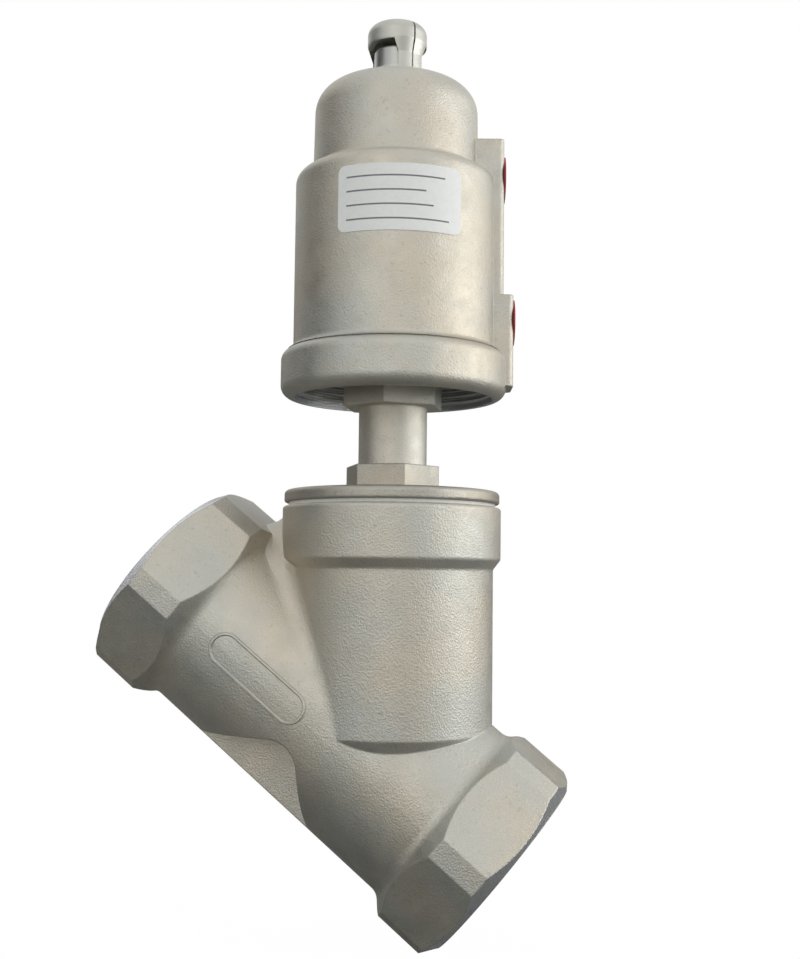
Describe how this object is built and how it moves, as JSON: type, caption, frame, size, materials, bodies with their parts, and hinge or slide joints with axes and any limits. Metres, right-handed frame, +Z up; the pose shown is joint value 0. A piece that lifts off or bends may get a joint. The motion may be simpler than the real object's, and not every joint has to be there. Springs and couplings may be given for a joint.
{
  "type": "angle seat valve",
  "caption": "Pneumatic angle seat valve: slanted stainless body with threaded ports, guided stem and plug, spring-return piston actuator that turns on its yoke, and a position cap.",
  "frame": {"origin": "centre of the inlet port's face, where the pipe's axis meets it", "axes": "+Z up along the stem, +X along the level part of the pipe run from the outlet towards the inlet, +Y away from the side that carries the label; the run falls 40 degrees towards +X"},
  "size_m": [0.1573, 0.076, 0.3083],
  "materials": {
    "cast_steel": "bead-blasted satin",
    "turned_steel": "turned, fine satin",
    "piston_aluminium": "turned",
    "spring_steel": "drawn wire",
    "white_ptfe": "matte",
    "black_rubber": "matte",
    "cap_metal": "cast, satin",
    "label_face": "printed film, bare",
    "red_plastic": "moulded"
  },
  "bodies": {
    "valve": {"valve_body": "cast_steel", "bonnet_gasket": "white_ptfe", "bonnet_cover": "turned_steel", "stem_guide": "white_ptfe", "yoke_tube": "turned_steel", "swivel_o_ring": "black_rubber", "thrust_washer": "white_ptfe", "retaining_ring": "turned_steel", "packing_seat": "turned_steel", "packing_rings": "white_ptfe", "packing_washer": "turned_steel", "packing_spring": "spring_steel", "gland_bush": "turned_steel", "stem_wiper": "black_rubber"},
    "stem_assembly": {"stem": "turned_steel", "plug": "turned_steel", "plug_pin": "turned_steel", "plug_seal": "white_ptfe", "plug_retainer": "turned_steel", "plug_nut": "turned_steel", "piston": "piston_aluminium", "piston_seal": "black_rubber", "piston_guide_ring": "white_ptfe", "piston_nut": "turned_steel", "indicator_rod": "turned_steel"},
    "actuator": {"actuator_housing": "cast_steel", "lower_cover": "turned_steel", "cover_o_ring": "black_rubber", "spring_seat": "turned_steel", "outer_spring": "spring_steel", "inner_spring": "spring_steel", "guide_bush": "turned_steel", "indicator_cap": "cap_metal", "rating_label": "label_face", "upper_port_ring": "red_plastic", "lower_port_ring": "red_plastic"}
  },
  "joints": [
    {"name": "stem_lift", "type": "slide", "parent": "valve", "child": "stem_assembly", "axis": [0, 0, 1], "range_m": [0, 0.02], "stiffness_N_per_m": 6000, "springref_m": -0.02, "deforming": ["outer_spring", "inner_spring"]},
    {"name": "actuator_swivel", "type": "hinge", "parent": "valve", "child": "actuator", "pos_m": [-0.03779, 0, 0.17], "axis": [0, 0, 1], "continuous": true}
  ]
}
